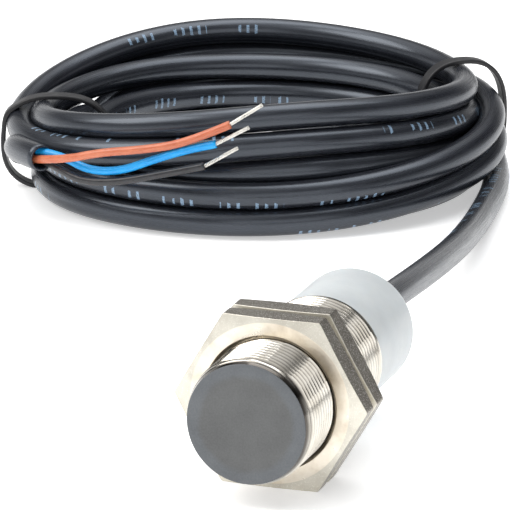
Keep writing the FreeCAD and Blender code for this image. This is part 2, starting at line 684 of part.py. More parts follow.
make_barrel()
make_nut("front_nut", "nut_front_at")
make_nut("rear_nut", "nut_rear_at")
make_face_and_core()
make_carrier_and_board()
make_board_parts()
make_end()
make_inner_wires()
make_resin()
make_cable()
export_all()
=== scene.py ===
import math

import bmesh
import bpy
import numpy as np
from mathutils import Matrix, Vector


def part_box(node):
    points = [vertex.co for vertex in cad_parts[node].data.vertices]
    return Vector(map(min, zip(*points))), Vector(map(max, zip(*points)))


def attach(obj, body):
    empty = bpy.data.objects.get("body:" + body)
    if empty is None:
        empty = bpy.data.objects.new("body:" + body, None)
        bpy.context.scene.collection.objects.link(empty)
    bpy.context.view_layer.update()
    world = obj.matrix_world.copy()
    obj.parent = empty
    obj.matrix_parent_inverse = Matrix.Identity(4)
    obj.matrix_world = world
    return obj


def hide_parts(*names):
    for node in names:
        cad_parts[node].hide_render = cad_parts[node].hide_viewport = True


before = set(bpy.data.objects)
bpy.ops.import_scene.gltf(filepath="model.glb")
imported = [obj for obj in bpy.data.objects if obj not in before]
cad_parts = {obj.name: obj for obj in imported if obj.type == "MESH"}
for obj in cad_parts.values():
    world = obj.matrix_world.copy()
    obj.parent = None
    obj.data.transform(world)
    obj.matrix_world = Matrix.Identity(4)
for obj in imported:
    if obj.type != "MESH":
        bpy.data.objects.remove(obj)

# Looks of an M18 inductive proximity sensor with two nuts and a coiled cable.
# Lengths are in millimetres up to the point where a mesh or curve is made, and metres after it.

MM = 0.001
HOUSING, FRONT_NUT, REAR_NUT = "housing", "front_nut_body", "rear_nut_body"
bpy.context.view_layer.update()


def span(node):
    """Lowest and highest corner of a CAD node, in millimetres."""
    low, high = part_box(node)
    return np.array(low) / MM, np.array(high) / MM


BARREL_LOW, BARREL_HIGH = span("threaded_barrel")
FACE_Y = BARREL_LOW[1]  # sensing face
AXIS_Z = (BARREL_LOW[2] + BARREL_HIGH[2]) / 2  # barrel's axis above the floor
THREAD_RADIUS = (BARREL_HIGH[0] - BARREL_LOW[0]) / 2
CABLE_RADIUS = 2.1
WIRE_RADIUS = 0.65

# ---- Camera ----
CAMERA_AZIMUTH, CAMERA_ELEVATION, CAMERA_ROLL = math.radians(-18.71), math.radians(16.5), math.radians(0.54)
CAMERA_DISTANCE = 803.2
CAMERA_LENS = 423.5
AIM_RIGHT, AIM_UP = 1.23, 22.73  # aim point, seen from the face's centre


def make_camera():
    """The camera, aimed from the sensing face's centre."""
    cos_el = math.cos(CAMERA_ELEVATION)
    forward = Vector((math.sin(CAMERA_AZIMUTH) * cos_el, math.cos(CAMERA_AZIMUTH) * cos_el,
                      -math.sin(CAMERA_ELEVATION)))
    level = Vector((math.cos(CAMERA_AZIMUTH), -math.sin(CAMERA_AZIMUTH), 0.0))
    upright = level.cross(forward)
    right = level * math.cos(CAMERA_ROLL) + upright * math.sin(CAMERA_ROLL)
    up = upright * math.cos(CAMERA_ROLL) - level * math.sin(CAMERA_ROLL)
    aim = Vector((0.0, FACE_Y, AXIS_Z)) + right * AIM_RIGHT + up * AIM_UP
    data = bpy.data.cameras.new("photo_camera")
    data.lens = CAMERA_LENS
    data.sensor_width = 36.0
    data.clip_start, data.clip_end = 0.01, 20.0
    camera = bpy.data.objects.new("photo_camera", data)
    camera.matrix_world = Matrix((right, up, -forward)).transposed().to_4x4()
    camera.location = (aim - forward * CAMERA_DISTANCE) * MM
    bpy.context.scene.collection.objects.link(camera)
    bpy.context.scene.camera = camera


# ---- Cable: routes and the coil ----
LEAD_ROUTE = [
    (0.0, 24.5, 12.0), (0.0, 36.0, 12.0), (-0.9, 56.0, 9.9), (-3.4, 80.0, 6.7), (-6.6, 101.0, 3.9),
    (-9.4, 118.0, 2.5), (-11.6, 131.0, 2.1), (-14.2, 141.0, 2.1),
]
TAIL_ROUTE = [(-82.7, 105.0, 9.2), (-79.6, 97.9, 10.6), (-74.0, 93.4, 11.0)]
WIRE_ROUTES = {
    "brown": [
        (-75.9, 94.0, 10.5), (-69.6, 91.2, 11.7), (-63.4, 90.5, 13.7), (-56.2, 90.7, 14.8),
        (-49.4, 91.8, 16.3), (-43.2, 93.8, 19.3),
    ],
    "blue": [
        (-75.55, 94.65, 11.8), (-70.6, 93.5, 11.7), (-66.0, 92.3, 10.1), (-60.4, 91.4, 10.7),
        (-54.8, 91.3, 13.2), (-49.8, 91.9, 15.1), (-45.2, 93.0, 16.2),
    ],
    "black": [
        (-75.1, 95.2, 10.4), (-71.0, 93.4, 9.5), (-67.0, 91.9, 8.4), (-61.0, 91.1, 9.0),
        (-54.2, 91.3, 10.8), (-46.9, 92.6, 12.6),
    ],
}
STRAND_ENDS = {
    "brown": (-38.6, 95.6, 22.4), "blue": (-40.4, 94.6, 18.9), "black": (-42.0, 94.1, 15.6),
}

COIL_LONG, COIL_SHORT = 38.3, 31.0  # half widths of the outer turns' centre line
COIL_CENTRE, COIL_TURN = (-50.5, 127.5), math.radians(29.7)
COIL_TURNS = 8
STEPS_PER_TURN = 24
PITCH = 2 * CABLE_RADIUS
TIE_RIGHT_AT, TIE_LEFT_AT = math.radians(6), math.radians(170)
FRONT_AT, BACK_AT = math.radians(272), math.radians(95)
COIL_STARTS_AT, COIL_ENDS_AT = math.radians(6), math.radians(171)
TIE_LIFT = 0.8  # the strap lies under the lowest turn

# Places in the bundle, as (columns inwards from the outer oval, rows up from the floor), one for
# each turn in order: where it passes the right tie, the back, the left tie and the front.
RIGHT_PLACES = [
    (-0.25, 0.35), (-0.15, 1.4), (0.8, 0.0), (2.05, 2.45), (1.1, 3.0), (1.0, 2.0), (1.95, 1.4),
    (0.9, 1.0), (0.05, 2.45),
]
BACK_PLACES = [
    (0, 0), (0, 2.0), (2, 0.75), (2.0, 2.7), (0.35, 4.1), (1.1, 2.3), (2, 1.7), (1, 1.2), (0.35, 3.1),
]
LEFT_PLACES = [
    (1.3, 0.0), (2.3, 0.0), (2.1, 1.5), (1.0, 2.0), (0.05, 1.6), (3.2, 0.5), (3.0, 1.4), (1.3, 1.0),
    (0.4, 0.65),
]
FRONT_PLACES = [(0, 0), (1, 0), (1, 2), (0, 4.3), (0, 3.25), (1, 1), (0, 2.1), (0, 1)]
SWING_TURN, SWING_AT, SWING_PLACE = 3, math.radians(196), (0.4, 2.7)  # it swings out past the tie
ROW_RISE = 0.97  # a row's height, as a share of the pitch
BACK_LEAN, FRONT_LEAN = -0.15, 0.3  # how far each row leans inwards there
TIE_HOLD, SIDE_HOLD, SWING_HOLD = 1.0, 0.8, 0.6  # how firmly a turn is held to its place

# Settling the turns
SETTLE_ROUNDS, PUSH_ROUNDS = 300, 3
PULL, STRAIGHTEN, PUSH = 0.15, 0.35, 0.45  # share of the error mended in each round
HOLD_REACH = 1.2  # steps along the turn that a place is felt


def oval(angle):
    """Point on the coil's outer oval, and the outward direction there."""
    x, y = COIL_LONG * math.cos(angle), COIL_SHORT * math.sin(angle)
    outward = np.array([COIL_SHORT * math.cos(angle), COIL_LONG * math.sin(angle)])
    outward /= np.hypot(*outward)
    turn = np.array([[math.cos(COIL_TURN), -math.sin(COIL_TURN)], [math.sin(COIL_TURN), math.cos(COIL_TURN)]])
    return np.array(COIL_CENTRE) + turn @ np.array([x, y]), turn @ outward


def bundle_place(place, lift=0.0, lean=0.0):
    """Inset and height of a place; lean moves each row inwards by a share of the pitch."""
    column, row = place
    return (column + lean * row) * PITCH, CABLE_RADIUS + lift + row * PITCH * ROW_RISE


def coil_anchors():
    """Where each turn is led: (angle, (inset, height), firmness), in order along the cable."""
    anchors = []
    for number in range(COIL_TURNS + 1):
        start = 2 * math.pi * number
        anchors.append((start + TIE_RIGHT_AT, bundle_place(RIGHT_PLACES[number], TIE_LIFT), TIE_HOLD))
        anchors.append((start + BACK_AT, bundle_place(BACK_PLACES[number], lean=BACK_LEAN), SIDE_HOLD))
        anchors.append((start + TIE_LEFT_AT, bundle_place(LEFT_PLACES[number], TIE_LIFT), TIE_HOLD))
        if number == SWING_TURN:
            anchors.append((start + SWING_AT, bundle_place(SWING_PLACE), SWING_HOLD))
        if number < COIL_TURNS:
            anchors.append((start + FRONT_AT, bundle_place(FRONT_PLACES[number], lean=FRONT_LEAN), SIDE_HOLD))
    return anchors


def settled_turns():
    """Inset and height of every point of the coil, pushed apart until the turns only touch."""
    step = 2 * math.pi / STEPS_PER_TURN
    count = int(round((2 * math.pi * COIL_TURNS + COIL_ENDS_AT - COIL_STARTS_AT) / step)) + 1
    angles = COIL_STARTS_AT + step * np.arange(count)
    anchors = coil_anchors()
    at = np.array([anchor[0] for anchor in anchors])
    places = np.array([anchor[1] for anchor in anchors])
    left = np.clip(np.searchsorted(at, angles) - 1, 0, len(at) - 2)
    part = np.clip((angles - at[left]) / (at[left + 1] - at[left]), 0, 1)[:, None]
    part = part * part * (3 - 2 * part)
    target = places[left] * (1 - part) + places[left + 1] * part
    firmness = np.zeros(count)
    for angle, _, pull in anchors:
        near = pull * np.exp(-(((angles - angle) / (HOLD_REACH * step)) ** 2))
        firmness = np.maximum(firmness, near)
    points = target.copy()
    for _ in range(SETTLE_ROUNDS):
        points += PULL * firmness[:, None] * (target - points)
        points[1:-1] += STRAIGHTEN * (0.5 * (points[:-2] + points[2:]) - points[1:-1])
        for _ in range(PUSH_ROUNDS):
            for apart in range(STEPS_PER_TURN, count, STEPS_PER_TURN):
                between = points[apart:] - points[:-apart]
                distance = np.hypot(between[:, 0], between[:, 1]) + 1e-9
                push = PUSH * np.clip(PITCH - distance, 0, None) / distance
                points[:-apart] -= between * push[:, None]
                points[apart:] += between * push[:, None]
            points[:, 1] = np.maximum(points[:, 1], CABLE_RADIUS)
    return angles, points


def coil_route():
    """Control points of the coil, in order along the cable."""
    route = []
    for angle, (inset, height) in zip(*settled_turns()):
        point, outward = oval(angle)
        route.append((*(point - outward * inset), height))
    return route


def spline_points(route, name):
    """Points along the NURBS spline that has the route as its control points, in millimetres."""
    curve = bpy.data.curves.new(name, "CURVE")
    curve.dimensions = "3D"
    curve.resolution_u = 8
    spline = curve.splines.new("NURBS")
    spline.points.add(len(route) - 1)
    for point, place in zip(spline.points, route):
        point.co = (*[value * MM for value in place], 1.0)
    spline.order_u = 3
    spline.use_endpoint_u = True
    item = bpy.data.objects.new(name, curve)
    bpy.context.scene.collection.objects.link(item)
    mesh = bpy.data.meshes.new_from_object(item)
    points = np.array([vertex.co[:] for vertex in mesh.vertices]) / MM
    bpy.data.objects.remove(item)
    bpy.data.meshes.remove(mesh)
    return points


# ---- Mesh helpers ----
def add_mesh(name, vertices, faces, uvs=None, smooth=True):
    """A mesh object from vertices in millimetres; uvs has one pair for each corner of each face."""
    mesh = bpy.data.meshes.new(name)
    mesh.from_pydata([tuple(value * MM for value in vertex) for vertex in vertices], [], faces)
    mesh.validate()
    if uvs is not None:
        layer = mesh.uv_layers.new(name="UVMap")
        layer.data.foreach_set("uv", np.array(uvs, dtype=float).ravel())
    if smooth:
        mesh.shade_smooth()
    item = bpy.data.objects.new(name, mesh)
    bpy.context.scene.collection.objects.link(item)
    return item


def frames_along(points):
    """Tangent, side and up directions along a line, carried forward without twist."""
    tangents = np.gradient(points, axis=0)
    tangents /= np.linalg.norm(tangents, axis=1)[:, None]
    up = np.array([0.0, 0.0, 1.0])
    sides, ups = [], []
    for tangent in tangents:
        up = up - tangent * (up @ tangent)
        up /= np.linalg.norm(up)
        sides.append(np.cross(tangent, up))
        ups.append(up)
    return tangents, np.array(sides), np.array(ups)


def travel_along(points):
    """How far each point lies along a line."""
    return np.concatenate([[0.0], np.cumsum(np.linalg.norm(np.diff(points, axis=0), axis=1))])


def ring_faces(count, sides, closed=False, first=0):
    """Four-sided faces between each ring of vertices and the next."""
    faces = []
    for ring in range(count if closed else count - 1):
        here, there = first + ring * sides, first + (ring + 1) % count * sides
        for k in range(sides):
            after = (k + 1) % sides
            faces.append((here + k, here + after, there + after, there + k))
    return faces


def circle_at(centre, side, up, radius, sides):
    """Points on a circle, from its centre and two directions across it."""
    turns = [2 * math.pi * k / sides for k in range(sides)]
    return [centre + radius * (side * math.cos(turn) + up * math.sin(turn)) for turn in turns]


def ring_sweep(name, points, rings, sides):
    """A tube along points. rings gives (place along the points, radius) for each ring of vertices."""
    _, side, up = frames_along(points)
    travelled = travel_along(points)
    vertices, uv_rows = [], []
    for index, radius in rings:
        vertices += circle_at(points[index], side[index], up[index], radius, sides)
        uv_rows.append([(travelled[index] * MM, k / sides) for k in range(sides + 1)])
    faces, uvs = ring_faces(len(rings), sides), []
    for r in range(len(rings) - 1):
        for k in range(sides):
            uvs += [uv_rows[r][k], uv_rows[r][k + 1], uv_rows[r + 1][k + 1], uv_rows[r + 1][k]]
    first, last = len(vertices), len(vertices) + 1
    vertices += [points[rings[0][0]], points[rings[-1][0]]]
    base = (len(rings) - 1) * sides
    for k in range(sides):
        after = (k + 1) % sides
        faces.append((first, after, k))
        faces.append((last, base + k, base + after))
        uvs += [(0.0, 0.0)] * 6
    return add_mesh(name, vertices, faces, uvs)


def even_points(points, step):
    """The same line with points a step apart."""
    travelled = travel_along(points)
    count = max(3, int(round(travelled[-1] / step)) + 1)
    at = np.linspace(0, travelled[-1], count)
    return np.stack([np.interp(at, travelled, points[:, axis]) for axis in range(3)], axis=1)


def axis_point(angle, radius, y):
    """A point at an angle round the barrel's axis."""
    return radius * math.cos(angle), y, AXIS_Z + radius * math.sin(angle)


def turned_mesh(name, profile, sides):
    """A closed piece of revolution about the barrel's axis, from (radius, depth) corners."""
    vertices, faces, uvs = [], [], []
    ring_start = []
    for radius, depth in profile:
        ring_start.append(len(vertices))
        if radius <= 1e-9:
            vertices.append((0.0, FACE_Y + depth, AXIS_Z))
            continue
        for k in range(sides):
            vertices.append(axis_point(2 * math.pi * k / sides, radius, FACE_Y + depth))
    for here in range(len(profile)):
        there = (here + 1) % len(profile)
        a, b = ring_start[here], ring_start[there]
        on_axis_a, on_axis_b = profile[here][0] <= 1e-9, profile[there][0] <= 1e-9
        v_a, v_b = profile[here][1] * MM, profile[there][1] * MM
        if on_axis_a and on_axis_b:
            continue
        for k in range(sides):
            after = (k + 1) % sides
            u, u_next = k / sides, (k + 1) / sides
            if on_axis_a:
                faces.append((a, b + k, b + after))
                uvs += [(u, v_a), (u, v_b), (u_next, v_b)]
            elif on_axis_b:
                faces.append((a + after, a + k, b))
                uvs += [(u_next, v_a), (u, v_a), (u, v_b)]
            else:
                faces.append((a + k, b + k, b + after, a + after))
                uvs += [(u, v_a), (u, v_b), (u_next, v_b), (u_next, v_a)]
    item = add_mesh(name, vertices, faces, uvs)
    tidy_normals(item)
    return item


def tidy_normals(item):
    """Turn every face outwards."""
    work = bmesh.new()
    work.from_mesh(item.data)
    bmesh.ops.recalc_face_normals(work, faces=work.faces)
    work.to_mesh(item.data)
    work.free()


def soften_edges(item, width, angle):
    """Small rounded edges, as a modifier, with flat faces kept flat."""
    bevel = item.modifiers.new("edges", "BEVEL")
    bevel.width = width * MM
    bevel.segments = 2
    bevel.limit_method = "ANGLE"
    bevel.angle_limit = math.radians(angle)
    bevel.harden_normals = True
    normals = item.modifiers.new("normals", "WEIGHTED_NORMAL")
    normals.keep_sharp = True


def round_corners(profile, rounds, steps):
    """A profile with some corners replaced by arcs; rounds gives the radius for each corner's index."""
    out, count = [], len(profile)
    for index, corner in enumerate(profile):
        if index not in rounds:
            out.append(corner)
            continue
        here = np.array(corner, float)
        before = np.array(profile[index - 1], float) - here
        after = np.array(profile[(index + 1) % count], float) - here
        before /= np.linalg.norm(before)
        after /= np.linalg.norm(after)
        half = math.acos(max(-1.0, min(1.0, float(before @ after)))) / 2
        reach = rounds[index] / math.tan(half)
        middle = before + after
        middle /= np.linalg.norm(middle)
        centre = here + middle * rounds[index] / math.sin(half)
        first, last = here + before * reach - centre, here + after * reach - centre
        for k in range(steps + 1):
            part = k / steps
            arm = first * (1 - part) + last * part
            arm *= rounds[index] / np.linalg.norm(arm)
            out.append(tuple(centre + arm))
    return out


# ---- Materials ----
class Surface:
    """A node material: a Principled shader and short calls for the nodes that feed it."""

    def __init__(self, name, color, roughness, metallic=0.0):
        self.material = bpy.data.materials.new(name)
        self.material.use_nodes = True
        self.tree = self.material.node_tree
        self.shader = self.tree.nodes["Principled BSDF"]
        self.set("Base Color", (*color, 1.0))
        self.set("Roughness", roughness)
        self.set("Metallic", metallic)
        self.where = self.node("ShaderNodeTexCoord").outputs["Object"]

    def set(self, socket, value):
        """Give one of the shader's inputs a fixed value."""
        self.shader.inputs[socket].default_value = value

    def node(self, kind, **settings):
        node = self.tree.nodes.new(kind)
        for key, value in settings.items():
            setattr(node, key, value)
        return node

    def link(self, source, target):
        self.tree.links.new(source, target)

    def feed(self, socket, source):
        self.link(source, self.shader.inputs[socket])

    def stretched(self, scale, source=None):
        mapping = self.node("ShaderNodeMapping")
        mapping.inputs["Scale"].default_value = scale
        self.link(source or self.where, mapping.inputs["Vector"])
        return mapping.outputs["Vector"]

    def noise(self, scale, detail=4.0, roughness=0.55, vector=None):
        node = self.node("ShaderNodeTexNoise")
        node.inputs["Scale"].default_value = scale
        node.inputs["Detail"].default_value = detail
        node.inputs["Roughness"].default_value = roughness
        self.link(vector or self.where, node.inputs["Vector"])
        return node.outputs["Fac"]

    def ramp(self, source, stops):
        node = self.node("ShaderNodeValToRGB")
        elements = node.color_ramp.elements
        while len(elements) < len(stops):
            elements.new(0.5)
        for element, (place, color) in zip(elements, stops):
            element.position = place
            element.color = (*color, 1.0)
        self.link(source, node.inputs["Fac"])
        return node.outputs["Color"]

    def span(self, source, low, high, to_low, to_high):
        node = self.node("ShaderNodeMapRange")
        for key, value in (("From Min", low), ("From Max", high), ("To Min", to_low), ("To Max", to_high)):
            node.inputs[key].default_value = value
        self.link(source, node.inputs["Value"])
        return node.outputs["Result"]

    def math(self, operation, first, second=None):
        node = self.node("ShaderNodeMath", operation=operation)
        for slot, value in enumerate((first, second)):
            if value is None:
                continue
            if isinstance(value, (int, float)):
                node.inputs[slot].default_value = value
            else:
                self.link(value, node.inputs[slot])
        return node.outputs["Value"]

    def times(self, first, second):
        return self.math("MULTIPLY", first, second)

    def plus(self, first, second):
        return self.math("ADD", first, second)

    def mix(self, factor, first, second):
        node = self.node("ShaderNodeMix", data_type="RGBA")
        self.link(factor, node.inputs["Factor"])
        for socket, value in ((6, first), (7, second)):
            if isinstance(value, tuple):
                node.inputs[socket].default_value = (*value, 1.0)
            else:
                self.link(value, node.inputs[socket])
        return node.outputs[2]

    def bump(self, layers):
        """Relief from (height, strength, depth in millimetres) layers, one over the other."""
        normal = None
        for height, strength, depth in layers:
            node = self.node("ShaderNodeBump")
            node.inputs["Strength"].default_value = strength
            node.inputs["Distance"].default_value = depth * MM
            self.link(height, node.inputs["Height"])
            if normal:
                self.link(normal, node.inputs["Normal"])
            normal = node.outputs["Normal"]
        self.feed("Normal", normal)


def off_axis(surface):
    """Distance from the barrel's axis, in millimetres."""
    parts = surface.node("ShaderNodeSeparateXYZ")
    surface.link(surface.where, parts.inputs["Vector"])
    height = surface.math("SUBTRACT", parts.outputs["Z"], AXIS_Z * MM)
    square = surface.plus(surface.times(parts.outputs["X"], parts.outputs["X"]),
                          surface.times(height, height))
    return surface.times(surface.math("SQRT", square), 1 / MM)


def bright_nickel():
    """Plated thread: bright, faintly warm, fine turning marks, a little tarnish, and painted shade in the
    roots.
    """
    surface = Surface("bright_nickel", (0.80, 0.78, 0.74), 0.16, 1.0)
    cloud = surface.noise(260, 5)
    grain = surface.noise(5200, 3)
    plated = surface.ramp(cloud, [(0.30, (0.55, 0.51, 0.44)), (0.62, (0.70, 0.67, 0.61))])
    from_axis = off_axis(surface)
    # painted shade: the thread's roots are darkened nearly to black, deepest at the bottom of the groove
    painted_root_shade = surface.span(from_axis, THREAD_RADIUS - 0.45, THREAD_RADIUS - 0.12, 1.0, 0.0)
    surface.feed("Base Color", surface.mix(painted_root_shade, plated, (0.10, 0.09, 0.08)))
    surface.feed("Roughness", surface.span(grain, 0.3, 0.7, 0.09, 0.20))
    turned_marks = surface.noise(900, 2, vector=surface.stretched((1, 14, 1)))
    surface.bump([(grain, 0.10, 0.02), (turned_marks, 0.10, 0.02)])
    return surface.material


def nut_nickel():
    """Plated nut: turned cream faces with stains and scratches; grainy corners and flats, darkened by painted
    shade.
    """
    surface = Surface("nut_nickel", (0.72, 0.68, 0.61), 0.3, 1.0)
    stains = surface.noise(330, 6, 0.62)
    patches = surface.noise(95, 3)
    spread = surface.plus(surface.times(stains, 0.6), surface.times(patches, 0.4))
    turned = surface.ramp(spread, [
        (0.36, (0.62, 0.54, 0.43)), (0.50, (0.78, 0.71, 0.60)), (0.66, (0.86, 0.81, 0.72)),
    ])
    sparkle = surface.span(surface.noise(6200, 2, 0.7), 0.57, 0.66, 0.0, 1.0)
    grey = surface.ramp(spread, [(0.36, (0.54, 0.51, 0.44)), (0.64, (0.70, 0.67, 0.59))])
    pressed = surface.mix(surface.times(sparkle, 0.4), grey, (0.95, 0.93, 0.88))
    # painted shade: the corners and flats get a much darker copy of the plated tone, sprinkled with the
    # grain's pale specks
    dark = surface.ramp(spread, [(0.36, (0.16, 0.14, 0.115)), (0.64, (0.27, 0.245, 0.205))])
    grainy_flats_painted_shade = surface.mix(sparkle, dark, (0.95, 0.92, 0.86))
    normal = surface.node("ShaderNodeSeparateXYZ")
    surface.link(surface.node("ShaderNodeNewGeometry").outputs["Normal"], normal.inputs["Vector"])
    facing = surface.math("ABSOLUTE", normal.outputs["Y"])
    outside = surface.span(off_axis(surface), NUT_CROWN - 0.03, NUT_CROWN + 0.06, 0.0, 1.0)
    end_tone = surface.mix(outside, turned, pressed)
    surface.feed("Base Color", surface.mix(surface.span(facing, 0.3, 0.6, 0.0, 1.0), grainy_flats_painted_shade, end_tone))
    grain = surface.noise(4200, 4, 0.7)
    scratches = surface.noise(700, 2, 0.5, surface.stretched((1.0, 1.0, 11.0)))
    lines = surface.span(scratches, 0.62, 0.70, 0.0, 1.0)
    worn = surface.span(spread, 0.35, 0.65, 0.34, 0.26)
    surface.feed("Roughness", surface.plus(worn, surface.times(outside, 0.07)))
    surface.bump([(grain, 0.22, 0.03), (sparkle, 0.18, 0.02), (lines, 0.12, 0.02), (stains, 0.06, 0.05)])
    return surface.material


def face_plastic():
    """Sensing face: matt blue-grey moulding with a fine grain and faint rubbing."""
    surface = Surface("face_plastic", (0.10, 0.11, 0.125), 0.55)
    grain = surface.noise(3800, 4, 0.65)
    cloud = surface.noise(240, 5, 0.6)
    both = surface.plus(surface.times(grain, 0.45), surface.times(cloud, 0.55))
    middle = surface.ramp(both, [(0.35, (0.082, 0.084, 0.085)), (0.65, (0.126, 0.129, 0.130))])
    border = surface.ramp(both, [(0.35, (0.090, 0.098, 0.107)), (0.65, (0.136, 0.145, 0.156))])
    edge = surface.plus(off_axis(surface), surface.times(cloud, 1.2))
    surface.feed("Base Color", surface.mix(surface.span(edge, 6.9, 7.7, 0.0, 1.0), middle, border))
    surface.feed("Roughness", surface.span(cloud, 0.3, 0.7, 0.50, 0.64))
    surface.set("Specular IOR Level", 0.45)
    surface.bump([(grain, 0.35, 0.03), (cloud, 0.05, 0.05)])
    return surface.material


def milky_plastic():
    """End cap: translucent milky moulding that glows a little where light gets in."""
    surface = Surface("milky_plastic", (0.80, 0.85, 0.88), 0.34)
    cloud = surface.noise(130, 3)
    surface.feed("Base Color", surface.ramp(cloud, [(0.35, (0.53, 0.56, 0.575)), (0.65, (0.60, 0.63, 0.64))]))
    surface.set("Subsurface Weight", 0.75)
    surface.set("Subsurface Radius", (1.0, 1.15, 1.3))
    surface.set("Subsurface Scale", 2.2 * MM)
    surface.set("IOR", 1.5)
    grain = surface.noise(2600, 3)
    surface.feed("Roughness", surface.span(grain, 0.3, 0.7, 0.30, 0.42))
    surface.bump([(grain, 0.08, 0.02)])
    return surface.material


def cable_jacket(name="cable_jacket", printed=True):
    """Satin black PVC with fine drag lines along it and a row of pale printed dashes."""
    surface = Surface(name, (0.016, 0.0175, 0.022), 0.32)
    along = surface.node("ShaderNodeTexCoord").outputs["UV"]
    drag = surface.noise(1.0, 3, 0.6, surface.stretched((90.0, 60.0, 1.0), along))
    fine = surface.noise(3000, 3)
    cloud = surface.noise(150, 4)
    tone = surface.ramp(cloud, [(0.3, (0.009, 0.0100, 0.0135)), (0.7, (0.016, 0.0175, 0.023))])
    if printed:
        ink = printed_dashes(surface, along)
        speckle = surface.span(surface.noise(5200, 2), 0.36, 0.5, 0.35, 0.9)
        tone = surface.mix(surface.times(ink, speckle), tone, (0.22, 0.33, 0.46))
    surface.feed("Base Color", tone)
    surface.feed("Roughness", surface.span(drag, 0.3, 0.7, 0.22, 0.34))
    surface.set("Specular IOR Level", 0.85)
    surface.set("Specular Tint", (0.80, 0.88, 1.0, 1.0))
    surface.bump([(drag, 0.10, 0.05), (fine, 0.10, 0.02)])
    return surface.material


DASH_EVERY, DASH_HALF = 0.70, 0.24  # spacing and half width of the dashes
GROUPS_PER_M, PASSAGES_PER_M, JITTERS_PER_M = 210.0, 17.0, 900.0  # how often the gaps change
PRINT_TURNS_PER_M, PRINT_HEIGHT = 2.3, 0.10  # turns round the cable; share of its girth


def printed_dashes(surface, along):
    """1 where the cable's print is: dashes of uneven height, in groups, in passages."""
    parts = surface.node("ShaderNodeSeparateXYZ")
    surface.link(along, parts.inputs["Vector"])
    travel, around = parts.outputs["X"], parts.outputs["Y"]

    def changing(per_metre, detail):
        return surface.noise(1.0, detail, 0.5, surface.stretched((per_metre, 0.0, 0.0), along))

    stroke = surface.math("LESS_THAN", surface.math("PINGPONG", travel, DASH_EVERY * MM), DASH_HALF * MM)
    group = surface.math("GREATER_THAN", changing(GROUPS_PER_M, 1), 0.50)
    passage = surface.math("GREATER_THAN", changing(PASSAGES_PER_M, 0), 0.47)
    turns = surface.times(travel, PRINT_TURNS_PER_M)
    turned = surface.math("FRACT", surface.plus(around, turns))
    off_line = surface.math("ABSOLUTE", surface.math("SUBTRACT", turned, 0.5))
    reach = surface.times(changing(JITTERS_PER_M, 1), PRINT_HEIGHT)
    band = surface.math("LESS_THAN", off_line, reach)
    dashes = surface.times(stroke, group)
    return surface.times(dashes, surface.times(band, passage))


def wire_skin(name, dark, light):
    """Thin PVC wire insulation, slightly glossy, with faint rubbing along it."""
    surface = Surface(name, light, 0.36)
    along = surface.node("ShaderNodeTexCoord").outputs["UV"]
    rub = surface.noise(1.0, 3, 0.6, surface.stretched((300.0, 8.0, 1.0), along))
    cloud = surface.noise(420, 4)
    both = surface.plus(surface.times(rub, 0.5), surface.times(cloud, 0.5))
    surface.feed("Base Color", surface.ramp(both, [(0.34, dark), (0.62, light)]))
    surface.feed("Roughness", surface.span(rub, 0.3, 0.7, 0.22, 0.36))
    surface.set("Subsurface Weight", 0.1)
    surface.set("Subsurface Scale", 0.4 * MM)
    surface.bump([(rub, 0.12, 0.03), (surface.noise(3600, 2), 0.08, 0.01)])
    return surface.material


def metal(name, color, roughness):
    """Plain metal with a slightly cloudy tone."""
    surface = Surface(name, color, roughness, 1.0)
    cloud = surface.noise(900, 4)
    dark = tuple(value * 0.76 for value in color)
    surface.feed("Base Color", surface.ramp(cloud, [(0.35, dark), (0.65, color)]))
    surface.feed("Roughness", surface.span(cloud, 0.3, 0.7, roughness - 0.06, roughness + 0.10))
    surface.bump([(surface.noise(4500, 3), 0.12, 0.01)])
    return surface.material


def moulding(name, color, roughness):
    """Plain plastic, rubber or ceramic with a slightly cloudy tone."""
    surface = Surface(name, color, roughness)
    cloud = surface.noise(700, 4)
    dark = tuple(value * 0.9 for value in color)
    light = tuple(min(1.0, value * 1.1) for value in color)
    surface.feed("Base Color", surface.ramp(cloud, [(0.35, dark), (0.65, light)]))
    surface.feed("Roughness", surface.span(cloud, 0.3, 0.7, roughness - 0.06, roughness + 0.08))
    surface.bump([(surface.noise(3500, 3), 0.15, 0.015)])
    return surface.material


def winding_copper():
    """Enamelled wire laid in turns round the bobbin."""
    surface = Surface("winding_copper", (0.72, 0.33, 0.16), 0.3, 1.0)
    wave = surface.node("ShaderNodeTexWave", wave_type="BANDS", bands_direction="Y")
    wave.inputs["Scale"].default_value = 1100
    surface.link(surface.where, wave.inputs["Vector"])
    turns = wave.outputs["Fac"]
    surface.feed("Base Color", surface.ramp(turns, [(0.1, (0.30, 0.10, 0.04)), (0.7, (0.78, 0.38, 0.19))]))
    surface.bump([(turns, 0.6, 0.06)])
    return surface.material


def board_green():
    """Solder mask with pale traces under it."""
    surface = Surface("board_green", (0.02, 0.20, 0.09), 0.3)
    cells = surface.node("ShaderNodeTexBrick")
    cells.inputs["Scale"].default_value = 420
    cells.inputs["Mortar Size"].default_value = 0.05
    cells.inputs["Color1"].default_value = (0.015, 0.16, 0.07, 1)
    cells.inputs["Color2"].default_value = (0.020, 0.19, 0.085, 1)
    cells.inputs["Mortar"].default_value = (0.05, 0.32, 0.16, 1)
    surface.link(surface.where, cells.inputs["Vector"])
    surface.feed("Base Color", cells.outputs["Color"])
    surface.bump([(cells.outputs["Fac"], 0.25, 0.03)])
    return surface.material


# ---- The cable, its wires and its ties ----
CABLE_STEP, WIRE_STEP, STRAND_STEP = 1.1, 0.45, 0.18  # between rings of vertices
STRAND_RADIUS, STRAND_LAY, STRANDS_ROUND = 0.112, 3.6, 6
STRAND_SPREAD = 1.75  # strand radii from the middle strand to the others
CABLE_SIDES, WIRE_SIDES, STRAND_SIDES = 28, 20, 8
CABLE_START = 0.9  # the first ring's share of the radius, a small bevel
